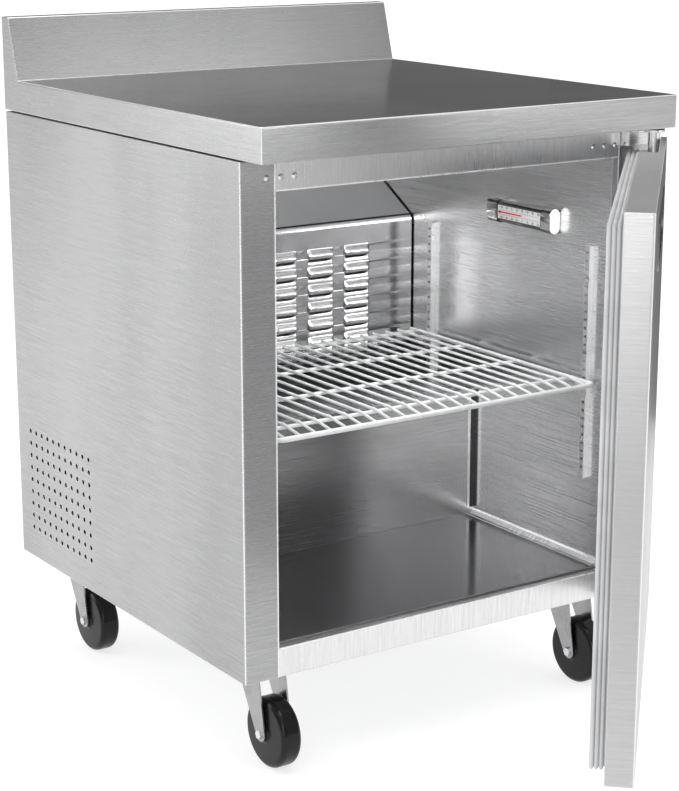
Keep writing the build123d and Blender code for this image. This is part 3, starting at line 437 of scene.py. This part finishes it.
FINISH = {
    "worktop": steel_top, "side_panel_left": steel_panel, "side_panel_right": steel_panel,
    "top_rail": steel_rail, "bottom_rail": steel_rail, "door_skin": steel_door, "door_handle": handle_steel,
    "liner_left": liner_steel, "liner_right": liner_steel, "liner_ceiling": ceiling_steel,
    "liner_back": liner_steel, "liner_floor": floor_steel, "liner_step_face": step_steel,
    "liner_step_top": step_steel, "floor_coves": liner_steel, "evaporator_cover": cover_steel,
    "door_liner": liner_door,
    "rear_panel": spangle, "rear_grille": spangle, "base_pan": spangle, "unit_base_plate": spangle,
    "evaporator_fan_shroud": spangle, "condenser_shroud": spangle, "drain_pan": spangle,
    "insulation": pale_foam, "door_core": pale_foam,
    "cabinet_screws": bright_zinc, "caster_bolts": bright_zinc, "caster_plates": bright_zinc,
    "top_hinge": hinge_steel, "bottom_hinge": hinge_steel,
    "shelf_standards": standard_and_highlight_steel, "shelf_clips": standard_and_highlight_steel,
    "wire_shelf": wire_coat, "thermometer": chrome,
    "evaporator_coil": evaporator_fins, "condenser_coil": condenser_fins,
    "compressor": black_coat, "evaporator_fan_motor": motor_coat, "condenser_fan_motor": motor_coat,
    "evaporator_fan_blade": fan_sheet, "condenser_fan_blade": fan_sheet,
    "filter_drier": copper_skin, "condensate_pan": grey_moulding, "control_box": grey_moulding,
    "cord_gland": grey_moulding, "door_bushes": grey_moulding, "door_gasket": gasket_vinyl,
}
for corner in ("front_left", "front_right", "rear_left", "rear_right"):
    FINISH[f"caster_fork_{corner}"] = fork_zinc
    FINISH[f"caster_axle_{corner}"] = bright_zinc
    FINISH[f"caster_wheel_{corner}"] = wheel_rubber
for name, piece in node.items():
    if not piece.material_slots:
        piece.data.materials.append(FINISH[name])
    for slot in piece.material_slots:
        slot.material = FINISH[name]


# ---------------------------------------------------------------- door gasket
def ribbed_gasket():
    """A magnetic door seal: a bellows with three folds on each side, mitred at the door's corners.
    Millimetres in the door's own frame, where y runs from the door's middle towards the cabinet."""
    x0, x1, z0, z1 = -658.0, 5.5, 163.5, 831.5
    foot, face, wide, fold = 18.2, 37.5, 22.0, 3.3
    first, pitch, folds, steps = foot + 1.6, 5.9, 3, 10
    side = [(fold + 0.4, foot), (fold + 0.4, first - 0.4)]
    for index in range(folds * steps):
        turn = index / steps
        out = abs(math.sin(math.pi * turn)) ** 0.6
        side.append((0.25 + fold * (1 - out), first + turn * pitch))
    side += [(2.2, face - 0.5), (3.4, face - 0.1), (5.5, face)]
    profile = side + [(wide - inset, height) for inset, height in reversed(side)]
    points, faces = [], []
    count = len(profile)
    for cx, cz, sx, sz in ((x0, z0, 1, 1), (x1, z0, -1, 1), (x1, z1, -1, -1), (x0, z1, 1, -1)):
        for inset, height in profile:
            points.append(door_point(cx + sx * inset, height, cz + sz * inset))
    for corner in range(4):
        after = (corner + 1) % 4
        for i in range(count):
            j = (i + 1) % count
            faces.append((corner * count + i, corner * count + j, after * count + j, after * count + i))
    return mesh_from("door_gasket_bellows", points, faces)


place("door_gasket_bellows", ribbed_gasket(), "door", ["door_gasket"], gasket_vinyl,
      smooth=False)


# ---------------------------------------------------------------- evaporator cover
# Stamped louvers, in mm.
LOUVER_COLUMNS, LOUVER_ROWS = 6, 6
COLUMN_PITCH, ROW_PITCH = 70.8, 28.9
LOUVER_TOP = 627.5                      # the top of the highest row
LOUVER_DROP = 15.7                      # from a louver's top to its lip
LOUVER_HALF, MOUTH_HALF = 24.3, 23.6    # half the width of a louver and of its open mouth
LOUVER_OUT = 7.0                        # how far it stands out
LOUVER_SHOULDER = 7.0                   # how wide its rounded ends are


def column_middle(column):
    """The x, in mm, of a column's middle; the columns lie evenly about x = 0."""
    return (column - (LOUVER_COLUMNS - 1) / 2) * COLUMN_PITCH


def is_mouth(x, z):
    """Whether the strip that starts at z is cut open at x, under a louver's lip."""
    lips = (LOUVER_TOP - row * ROW_PITCH - LOUVER_DROP for row in range(LOUVER_ROWS))
    under_lip = any(abs(z - lip) < 0.01 for lip in lips)
    in_column = any(abs(x - column_middle(column)) < MOUTH_HALF for column in range(LOUVER_COLUMNS))
    return under_lip and in_column


def louver_height(x, z):
    """How far, in mm, a stamped louver stands out of the cover at x, z; it drops away below its lip."""
    for column in range(LOUVER_COLUMNS):
        dx = abs(x - column_middle(column))
        if dx > LOUVER_HALF:
            continue
        across = min(1.0, (LOUVER_HALF - dx) / LOUVER_SHOULDER)
        for row in range(LOUVER_ROWS):
            down = LOUVER_TOP - row * ROW_PITCH - z
            if -0.5 <= down <= LOUVER_DROP - 0.1:
                rise = min(1.0, (down + 0.5) / 12.5)
                dome = math.sqrt(across * (2 - across))
                return LOUVER_OUT * dome * (rise * rise * (3 - 2 * rise)) ** 0.8
    return 0.0


def stamped_cover():
    """The louvered sheet in front of the coil: upright, rounded ledge, slope to the ceiling, two ends."""
    low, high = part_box("evaporator_cover")
    x0, x1 = low.x / MM, high.x / MM
    front, bottom, fold = 184.0, 440.0, 14.0
    back, slope_top, bend = 327.8, 748.0, 664.0
    lean = math.atan2(slope_top - bend, back - front)
    turn = math.pi / 2 - lean
    fold_y, fold_z = front + fold, bend - fold * math.tan(turn / 2)
    half = (8, 16.8, 18.6, 20.6, 22.4, MOUTH_HALF, LOUVER_HALF + 0.1)
    columns = [x0]
    for column in range(LOUVER_COLUMNS):
        middle = column_middle(column)
        columns += [middle - at for at in reversed(half)] + [middle] + [middle + at for at in half]
    columns.append(x1)
    line = [(front, bottom)]
    drops = (LOUVER_DROP, LOUVER_DROP - 0.15, 14, 12.5, 11, 9, 7, 5, 3, 1.4, 0, -0.6)
    for row in reversed(range(LOUVER_ROWS)):
        line += [(front, LOUVER_TOP - row * ROW_PITCH - at) for at in drops]
    for k in range(11):
        angle = math.pi - turn * k / 10
        line.append((fold_y + fold * math.cos(angle), fold_z + fold * math.sin(angle)))
    line += [(back, slope_top), (back, slope_top + 16)]
    points, faces = [], []
    count = len(columns)
    for y, z in line:
        for x in columns:
            points.append((x * MM, (y - louver_height(x, z)) * MM, z * MM))
    for r in range(len(line) - 1):
        for c in range(count - 1):
            if is_mouth((columns[c] + columns[c + 1]) / 2, line[r][1]):
                continue
            a = r * count + c
            faces.append((a, a + 1, a + count + 1, a + count))
    for c in (0, count - 1):
        base = len(points)
        for _, z in line[:-1]:
            points.append((columns[c] * MM, (back - 0.2) * MM, z * MM))
        for r in range(len(line) - 2):
            a = r * count + c
            faces.append((a, a + count, base + r + 1, base + r))
    return mesh_from("evaporator_cover_stamped", points, faces)


cover = place("evaporator_cover_stamped", stamped_cover(), "cabinet", ["evaporator_cover"],
              cover_steel)
thicken = cover.modifiers.new("sheet", "SOLIDIFY")
thicken.thickness = 0.8 * MM
thicken.offset = -1
cover.data.set_sharp_from_angle(angle=math.radians(50))


# ---------------------------------------------------------------- thermometer
WALL_X, THERMO_Z = 291.25, 707.0        # the right wall's face, and the tube's height, in mm
THERMO_DEEP, THERMO_TALL, THERMO_ROUND = 18.7, 38.0, 9.5


def thermo_ring(deep, tall, radius):
    """Half of a rounded square, from the wall below, round the front, to the wall above."""
    steps = 8
    ring = [(WALL_X, THERMO_Z - tall / 2)]
    for cz, start in ((-1, 1.5), (1, 1.0)):
        for k in range(steps + 1):
            angle = math.pi * (start - 0.5 * k / steps)
            ring.append((WALL_X - deep + radius + radius * math.cos(angle),
                         THERMO_Z + cz * (tall / 2 - radius) + radius * math.sin(angle)))
    ring.append((WALL_X, THERMO_Z + tall / 2))
    return ring


def thermo_part(name, stations):
    """A closed D-shaped body through (y, inset) stations."""
    points = []
    for y, inset in stations:
        radius = THERMO_ROUND - min(inset, 5) * 0.6
        for x, z in thermo_ring(THERMO_DEEP - inset, THERMO_TALL - 2 * inset, radius):
            points.append((x * MM, y * MM, z * MM))
    return mesh_from(name, points, lofted(len(stations), len(points) // len(stations)))


def cap_stations(y0, y1):
    """A chrome cap from y0 to y1: a domed end, a straight body and a groove near the tube."""
    return [(y0, 3.0), (y0 + 0.5, 1.2), (y0 + 1.6, 0.3), (y0 + 3, 0.0), (y1 - 2.4, 0.0), (y1 - 2.2, 0.5),
            (y1 - 1.6, 0.5), (y1 - 1.4, 0.0), (y1 - 0.3, 0.0), (y1, 0.9)]


def boxes(name, bounds):
    """Small flat-sided marks, given as x, y and z ranges in mm, in one mesh."""
    points, faces = [], []
    for x0, x1, y0, y1, z0, z1 in bounds:
        a = len(points)
        points += [(x * MM, y * MM, z * MM) for x in (x0, x1) for y in (y0, y1) for z in (z0, z1)]
        faces += [tuple(a + k for k in side) for side in
                  ((0, 1, 3, 2), (4, 6, 7, 5), (0, 4, 5, 1), (2, 3, 7, 6), (0, 2, 6, 4), (1, 5, 7, 3))]
    return mesh_from(name, points, faces)


def gloss(name, dark, light, rough):
    """Lacquered print and clear-coated plastic."""
    s = Shader(name)
    s.link(s.blend(s.spread(s.noise((200, 200, 200)), 0, 1), dark, light), s.bsdf.inputs["Base Color"])
    s.set(roughness=rough, coat=0.6)
    return s.material


label_white = gloss("label_white", (0.38, 0.38, 0.375), (0.44, 0.44, 0.435), 0.4)


def chrome_reflection_bands(name, side, end):
    """Plating on a small moulding with its reflections painted in by which way each face looks: pale flats
    and ends, near-black bands round its shoulders.
    """
    s = Shader(name)
    split = s.add("ShaderNodeSeparateXYZ")
    s.link(s.add("ShaderNodeTexCoord").outputs["Normal"], split.inputs[0])
    ramp = s.add("ShaderNodeValToRGB")
    s.link(s.spread(split.outputs["Z"], 0, 1, -1, 1), ramp.inputs[0])
    fill_ramp(ramp.color_ramp, ((0.0, 0.05), (0.12, 0.04), (0.36, side * 1.3), (0.5, side), (0.62, side),
                                (0.70, 0.03), (0.82, 0.03), (0.90, 0.92), (1.0, 0.92)))
    facing = s.spread(s.math("MULTIPLY", split.outputs["Y"], -1.0), 0, 1, 0.5, 0.8)
    tint = s.blend(s.spread(s.noise((90, 90, 90)), 0, 0.2), ramp.outputs[0], (side, side, side))
    s.link(s.blend(facing, tint, (end, end, end)), s.bsdf.inputs["Base Color"])
    s.link(s.spread(s.noise((60, 60, 60)), 0.1, 0.18), s.bsdf.inputs["Roughness"])
    s.set(metallic=1.0)
    return s.material


# Painted reflections on the thermometer: bands by face direction, dark ends on the caps, bright ends on the
# tube.
cap_chrome = chrome_reflection_bands("cap_chrome", 0.6, 0.03)
tube_chrome = chrome_reflection_bands("tube_chrome", 0.6, 0.96)
ink_and_shadow_grey = gloss("ink_and_shadow_grey", (0.012, 0.012, 0.013), (0.02, 0.02, 0.021), 0.6)
spirit_red = gloss("spirit_red", (0.36, 0.0, 0.004), (0.44, 0.002, 0.008), 0.25)

front_y, rear_y, cap_y = -193.0, -36.0, 23.0    # the moulding's two ends, and a cap's length
body = thermo_part("thermometer_tube", [(front_y + cap_y - 2, 1.6), (front_y + cap_y, 1.2),
                                        (rear_y - cap_y, 1.2), (rear_y - cap_y + 2, 1.6)])
tube = place("thermometer_tube", body, "cabinet", ["thermometer"], tube_chrome)
tube.data.set_sharp_from_angle(angle=math.radians(40))
for name, y0, y1, flip in (("thermometer_cap_front", front_y, front_y + cap_y, False),
                           ("thermometer_cap_rear", rear_y - cap_y - 5, rear_y, True)):
    stations = cap_stations(y0, y1)
    if flip:
        stations = [(y0 + y1 - y, inset) for y, inset in reversed(stations)]
    capped = place(name, thermo_part(name, stations), "cabinet", (), cap_chrome)
    capped.data.set_sharp_from_angle(angle=math.radians(50))
label_x = WALL_X - 17.6
y_low, y_high = front_y + cap_y + 1.5, rear_y - cap_y - 6.5
scale_start, scale_length = y_high - 9, y_high - y_low - 14


def label_marks(name, bounds, material):
    """A flat-sided part of the thermometer's face."""
    place(name, boxes(name, bounds), "cabinet", (), material, smooth=False)


label = (label_x - 0.3, label_x + 0.6, y_low, y_high, THERMO_Z - 10.4, THERMO_Z + 10.4)
label_marks("thermometer_label", [label], label_white)
ticks = []
for k in range(36):
    y = scale_start - k * scale_length / 35
    near, far = 2.4, 5.2 if k % 5 == 0 else 3.9
    for low, high in ((near, far), (-far, -near)):
        ticks.append((label_x - 0.42, label_x - 0.2, y - 0.24, y + 0.24, THERMO_Z + low, THERMO_Z + high))
bezel = [(label_x - 0.5, label_x + 0.6, y_low - 1.2, y_high + 1.2, THERMO_Z + low, THERMO_Z + low + 2)
         for low in (-12.4, 10.4)]
bezel += [(label_x - 0.5, label_x + 0.6, y, y + 1.2, THERMO_Z - 12, THERMO_Z + 12)
          for y in (y_low - 1.2, y_high)]
label_marks("thermometer_bezel", bezel, ink_and_shadow_grey)


def end_lobe():
    """The rounded, domed end of the moulding nearest the door."""
    points = []
    x0, x1, count = WALL_X - 18.4, WALL_X - 0.6, 48
    straight = 9.9                      # half the length of its flat sides
    rings = ((0.5, 0.0), (-1.0, 0.0), (-1.9, 0.6), (-2.3, 1.8))
    for out, inset in rings:
        radius = (x1 - x0) / 2 - inset
        for k in range(count):
            a = 2 * math.pi * k / count
            lift = straight if math.sin(a) >= 0 else -straight
            points.append((((x0 + x1) / 2 + radius * math.cos(a)) * MM, (front_y + out) * MM,
                           (THERMO_Z + lift + radius * math.sin(a)) * MM))
    return mesh_from("thermometer_end_lobe", points, lofted(len(rings), count))


lobe_white = gloss("lobe_white", (0.80, 0.80, 0.80), (0.88, 0.88, 0.88), 0.3)
place("thermometer_end_lobe", end_lobe(), "cabinet", (), lobe_white, smooth=False)
seam = [(WALL_X - 18.85, WALL_X - 18.5, y0, y1, THERMO_Z - 0.5, THERMO_Z + 0.5)
        for y0, y1 in ((front_y + 3, front_y + cap_y - 3), (rear_y - cap_y - 2, rear_y - 3))]
label_marks("thermometer_seam", seam, ink_and_shadow_grey)
label_marks("thermometer_ticks", ticks, ink_and_shadow_grey)


def column_tube(name, y0, y1, radius, bulb):
    """The spirit column: a thin tube that swells into a bulb at its rear end."""
    points = []
    outline = [(y0, 0.05), (y0 + 0.3, radius), (y1 - bulb * 2.2, radius)]
    for degrees in range(-60, 91, 15):
        a = math.radians(degrees)
        outline.append((y1 - bulb + bulb * math.sin(a), max(0.05, bulb * math.cos(a))))
    sides = 14
    for y, r in outline:
        for k in range(sides):
            a = 2 * math.pi * k / sides
            x = label_x - 0.3 + r * 0.8 * math.cos(a)
            points.append((x * MM, y * MM, (THERMO_Z + r * math.sin(a)) * MM))
    return mesh_from(name, points, lofted(len(outline), sides))


place("thermometer_column", column_tube("thermometer_column", -124.0, y_high - 2.5, 1.05, 2.4), "cabinet",
      (), spirit_red)


def digits(name, words, size, z):
    """Generic scale numbers, as one piece of flat type along the label, at height z in mm."""
    joined = bmesh.new()
    for text, y in words:
        curve = bpy.data.curves.new(name, "FONT")
        curve.body = text
        curve.size = size * MM
        curve.align_x = "CENTER"
        curve.extrude = 0.08 * MM
        curve.offset = 0.12 * MM
        holder = bpy.data.objects.new(name + "_type", curve)
        mesh = bpy.data.meshes.new_from_object(holder)
        mesh.transform(Matrix(((0, 0, -1, (label_x - 0.3) * MM), (-1, 0, 0, y * MM),
                               (0, 1, 0, z * MM), (0, 0, 0, 1))))
        joined.from_mesh(mesh)
        bpy.data.objects.remove(holder)
        bpy.data.curves.remove(curve)
        bpy.data.meshes.remove(mesh)
    made = bpy.data.meshes.new(name)
    joined.to_mesh(made)
    joined.free()
    place(name, made, "cabinet", (), ink_and_shadow_grey, smooth=False)


span = scale_length / 7
for name, step, rise in (("thermometer_digits_upper", 20, 6.2), ("thermometer_digits_lower", 10, -9.4)):
    words = [(str(-40 + step * k), scale_start - k * span) for k in range(8)]
    digits(name, words, 4.4, THERMO_Z + rise)


# ---------------------------------------------------------------- step corners
# The step's face ends in a fold and a gap at each side wall, drawn as flat strips: a painted highlight on
# the fold and a painted shadow in the gap.
step_low, step_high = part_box("liner_step_face")
step_y = step_low.y / MM
folds, gap_shadows = [], []
for side in (-1, 1):
    for strips, near, far in ((folds, 13.5, 8.0), (gap_shadows, 8.0, 0.4)):
        edges = sorted((side * (WALL_X - near), side * (WALL_X - far)))
        strips.append((*edges, step_y - 0.7, step_y - 0.1, step_low.z / MM + 12, step_high.z / MM - 1))
# Bright strips are painted highlights; dark strips are painted shadow.
place("step_fold_highlights", boxes("step_fold_highlights", folds), "cabinet", (), standard_and_highlight_steel, smooth=False)
place("step_gap_shadows", boxes("step_gap_shadows", gap_shadows), "cabinet", (), ink_and_shadow_grey, smooth=False)


# ---------------------------------------------------------------- painted highlights along the door opening's edges
rail_low, rail_high = (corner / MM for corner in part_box("top_rail"))
sill_low, sill_high = (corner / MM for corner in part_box("bottom_rail"))
highlight_half, proud = 0.9, 0.25
opening_highlights = []
for x in (rail_low.x, rail_high.x):
    opening_highlights.append((x - highlight_half, x + highlight_half, rail_low.y - proud, rail_low.y + 0.6, sill_low.z, rail_high.z))
for z in (rail_low.z + highlight_half, sill_high.z - highlight_half):
    opening_highlights.append((rail_low.x, rail_high.x, rail_low.y - proud, rail_low.y + 0.6, z - highlight_half, z + highlight_half))
# Painted highlights: bright flat strips along the opening's edges.
opening_highlight_metal = plain_metal("opening_highlight_metal", (0.86, 0.86, 0.865), (0.95, 0.95, 0.955), 0.3, 45, metallic=0.3)
place("opening_edge_highlights", boxes("opening_edge_highlights", opening_highlights), "cabinet", (), opening_highlight_metal, smooth=False)


# ---------------------------------------------------------------- stage
scene.view_settings.view_transform = "Standard"


def matte(name, color, glow):
    """A dull studio surface, with a white glow of its own where glow is above nought."""
    s = Shader(name)
    soft = s.noise((3, 3, 3), 0, 2, 0.5)
    dimmer = tuple(c * 0.985 for c in color)
    s.link(s.blend(s.spread(soft, 0, 1), color, dimmer), s.bsdf.inputs["Base Color"])
    s.bsdf.inputs["Emission Color"].default_value = (1, 1, 1, 1)
    s.set(roughness=0.8, specular=0.1, emit=glow)
    return s.material


def stage_card(name, points, material):
    """One flat face that belongs to the studio, not to the part."""
    mesh = mesh_from(name, points, [tuple(range(len(points)))])
    mesh.materials.append(material)
    card = bpy.data.objects.new(name, mesh)
    scene.collection.objects.link(card)
    return card


FLOOR_RADIUS = 40.0
rim = [math.pi * k / 32 for k in range(64)]
stage_card("floor", [(FLOOR_RADIUS * math.cos(a), FLOOR_RADIUS * math.sin(a), 0) for a in rim],
           matte("studio_floor", (0.42, 0.42, 0.42), 0.70))


def flag(name, at, towards, width, height, tone):
    """A grey card that only reflections see, as a photographer's flags shape the light on steel."""
    w, h = width / 2, height / 2
    card = stage_card(name, [(-w, -h, 0), (w, -h, 0), (w, h, 0), (-w, h, 0)],
                      matte(f"{name}_grey", (tone, tone, tone), 0.0))
    card.location = at
    card.rotation_euler = (Vector(towards) - Vector(at)).to_track_quat("Z", "Y").to_euler()
    card.visible_camera = False
    card.visible_shadow = False
    card.visible_diffuse = False


flag("near_floor_flag", (-1.2, -1.95, 0.01), (-1.2, -1.95, 1.0), 0.9, 0.9, 0.03)
flag("rear_right_flag", (1.65, 0.45, 0.62), (0.86, -0.15, 0.62), 1.35, 1.2, 0.10)
flag("front_right_flag", (0.29, -1.06, 0.80), (-0.17, -0.41, 0.885), 0.17, 0.5, 0.02)

target = Vector((0.020534, 0, 0.433124))
camera_data = bpy.data.cameras.new("camera")
camera_data.lens = 92.27
camera_data.sensor_width = 36
camera_data.sensor_fit = "AUTO"
camera_data.clip_end = 100
camera = bpy.data.objects.new("camera", camera_data)
scene.collection.objects.link(camera)
camera.location = (-1.6755, -2.5218, 1.2136)
camera.rotation_euler = (target - camera.location).to_track_quat("-Z", "Y").to_euler()
scene.camera = camera


def area(name, at, towards, size, power):
    """A rectangular studio light, in metres and watts."""
    data = bpy.data.lights.new(name, "AREA")
    data.shape = "RECTANGLE"
    data.size, data.size_y = size
    data.energy = power
    lamp = bpy.data.objects.new(name, data)
    scene.collection.objects.link(lamp)
    lamp.location = at
    lamp.rotation_euler = (Vector(towards) - Vector(at)).to_track_quat("-Z", "Y").to_euler()
    lamp.visible_camera = False


for name, at, towards, size, power in (
    ("rear_left_box", (-3.0, 2.6, 1.5), (-0.3, 0, 0.5), (1.8, 1.8), 36),
    ("camera_side_box", (-2.9, -3.1, 1.35), (0, -0.4, 0.5), (1.0, 1.8), 26),
    ("front_right_box", (1.9, -3.6, 1.6), (0, 0, 0.5), (1.6, 1.6), 24),
    ("overhead_box", (0, -0.6, 4.0), (0, 0, 0.5), (2.6, 2.6), 55),
    ("rail_strip", (0, -0.27, 0.805), (0, 0.12, 0.45), (0.46, 0.03), 1.8),
):
    area(name, at, towards, size, power)

# The studio: white behind the object, an even light on dull surfaces, and a banded room in reflections.
world = bpy.data.worlds.new("studio")
world.use_nodes = True
scene.world = world
tree = world.node_tree
tree.nodes.clear()


def flat_light(value):
    """An even white light from all round."""
    made = tree.nodes.new("ShaderNodeBackground")
    made.inputs[0].default_value = (value, value, value, 1)
    return made.outputs[0]


def banded_light():
    """A room that is dim at eye level and bright overhead."""
    split = tree.nodes.new("ShaderNodeSeparateXYZ")
    tree.links.new(tree.nodes.new("ShaderNodeTexCoord").outputs["Generated"], split.inputs[0])
    ramp = tree.nodes.new("ShaderNodeValToRGB")
    tree.links.new(split.outputs["Z"], ramp.inputs[0])
    fill_ramp(ramp.color_ramp, ((0.0, 0.50), (0.06, 0.14), (0.36, 0.14), (0.62, 0.75), (1.0, 1.0)))
    made = tree.nodes.new("ShaderNodeBackground")
    tree.links.new(ramp.outputs[0], made.inputs[0])
    return made.outputs[0]


def by_ray(kind, otherwise, light):
    """One light for rays of a kind, and another for the rest."""
    made = tree.nodes.new("ShaderNodeMixShader")
    tree.links.new(ray.outputs[kind], made.inputs[0])
    tree.links.new(otherwise, made.inputs[1])
    tree.links.new(light, made.inputs[2])
    return made.outputs[0]


ray = tree.nodes.new("ShaderNodeLightPath")
room = by_ray("Is Glossy Ray", flat_light(0.95), banded_light())
out = tree.nodes.new("ShaderNodeOutputWorld")
tree.links.new(by_ray("Is Camera Ray", room, flat_light(1.0)), out.inputs[0])
